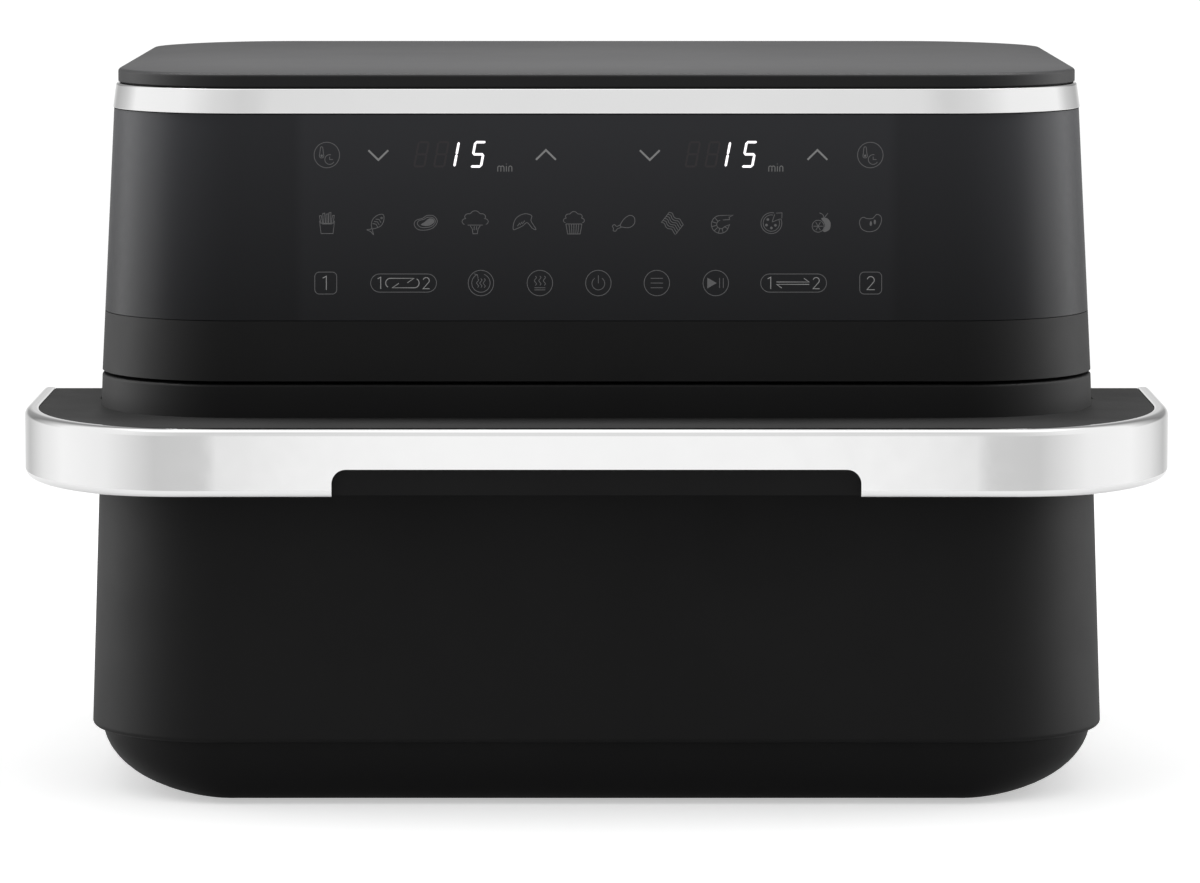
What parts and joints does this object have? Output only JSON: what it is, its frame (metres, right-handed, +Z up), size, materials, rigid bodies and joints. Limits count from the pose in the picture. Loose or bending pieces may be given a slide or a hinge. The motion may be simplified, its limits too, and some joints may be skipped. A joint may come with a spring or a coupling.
{
  "type": "air fryer",
  "caption": "Wide dual-zone air fryer: one deep drawer with a lift-out divider, wrap-around bright handle and band, touch panel and flat top.",
  "frame": {"origin": "middle of the footprint, on the surface that the feet stand on", "axes": "+Z up, +X to the user's right, the drawer opens towards -Y"},
  "size_m": [0.494, 0.4, 0.3149],
  "materials": {
    "housing_plastic": "satin charcoal moulding",
    "base_plastic": "matte black moulding",
    "fascia_gloss": "smoked touch panel",
    "cover_plastic": "fine-grained charcoal moulding",
    "grille_plastic": "matte black moulding",
    "bright_trim": "satin chrome plate",
    "handle_plastic": "textured charcoal moulding",
    "sheet_steel": "plain steel sheet",
    "heater_steel": "heat-stained tube",
    "fan_steel": "pressed and turned steel",
    "motor_paint": "dark enamel",
    "circuit_board": "green laminate",
    "display_lens": "smoked lens",
    "switch_plastic": "natural moulding",
    "silicone": "soft black silicone",
    "nonstick": "dark non-stick coat",
    "screw_steel": "plated screw",
    "foot_rubber": "matte black"
  },
  "bodies": {
    "housing": {"base_pan": "base_plastic", "base_screws": "screw_steel", "cavity_liner": "sheet_steel", "chamber_partition": "sheet_steel", "chrome_band": "bright_trim", "control_board": "circuit_board", "control_fascia": "fascia_gloss", "cord_gland": "silicone", "display_left": "display_lens", "display_right": "display_lens", "drawer_switch": "switch_plastic", "fan_motor_left": "motor_paint", "fan_motor_right": "motor_paint", "foot_front_left": "foot_rubber", "foot_front_right": "foot_rubber", "foot_rear_left": "foot_rubber", "foot_rear_right": "foot_rubber", "front_sleeve": "housing_plastic", "heater_coil_left": "heater_steel", "heater_coil_right": "heater_steel", "heater_guard_left": "sheet_steel", "heater_guard_right": "sheet_steel", "housing_deck": "housing_plastic", "motor_deck": "sheet_steel", "motor_screws": "screw_steel", "mouth_frame": "housing_plastic", "power_board": "circuit_board", "rear_grille": "grille_plastic", "side_shell": "housing_plastic", "slide_rail_left": "sheet_steel", "slide_rail_right": "sheet_steel", "temperature_probe_left": "fan_steel", "temperature_probe_right": "fan_steel", "thermal_cutout_left": "switch_plastic", "thermal_cutout_right": "switch_plastic", "top_cover": "cover_plastic", "upper_housing": "housing_plastic"},
    "drawer": {"drawer_front": "housing_plastic", "drawer_panel": "housing_plastic", "drawer_seal": "silicone", "drawer_pan": "nonstick", "handle_band": "bright_trim", "handle_plate": "handle_plastic", "handle_lining": "handle_plastic", "handle_screws": "screw_steel"},
    "divider": {"divider": "nonstick", "divider_seals": "silicone"},
    "switch_pin": {"switch_plunger": "switch_plastic"},
    "plate_left": {"crisper_plate_left": "nonstick", "plate_bumpers_left": "silicone"},
    "fan_left": {"motor_shaft_left": "fan_steel", "fan_nut_left": "fan_steel", "convection_fan_left": "fan_steel", "cooling_fan_left": "fan_steel"},
    "plate_right": {"crisper_plate_right": "nonstick", "plate_bumpers_right": "silicone"},
    "fan_right": {"motor_shaft_right": "fan_steel", "fan_nut_right": "fan_steel", "convection_fan_right": "fan_steel", "cooling_fan_right": "fan_steel"}
  },
  "joints": [
    {"name": "drawer_slide", "type": "slide", "parent": "housing", "child": "drawer", "axis": [0, -1, 0], "range_m": [0, 0.29]},
    {"name": "divider_lift", "type": "slide", "parent": "drawer", "child": "divider", "axis": [0, 0, 1], "range_m": [0, 0.0075]},
    {"name": "plate_left_lift", "type": "slide", "parent": "drawer", "child": "plate_left", "axis": [0, 0, 1], "range_m": [0, 0.08]},
    {"name": "plate_right_lift", "type": "slide", "parent": "drawer", "child": "plate_right", "axis": [0, 0, 1], "range_m": [0, 0.08]},
    {"name": "fan_left_spin", "type": "hinge", "parent": "housing", "child": "fan_left", "pos_m": [-0.092, 0.02, 0.2], "axis": [0, 0, 1], "continuous": true},
    {"name": "fan_right_spin", "type": "hinge", "parent": "housing", "child": "fan_right", "pos_m": [0.092, 0.02, 0.2], "axis": [0, 0, 1], "continuous": true},
    {"name": "switch_press", "type": "slide", "parent": "housing", "child": "switch_pin", "axis": [0, 1, 0], "range_m": [0, 0.001], "stiffness_N_per_m": 200, "springref_m": -0.003}
  ]
}
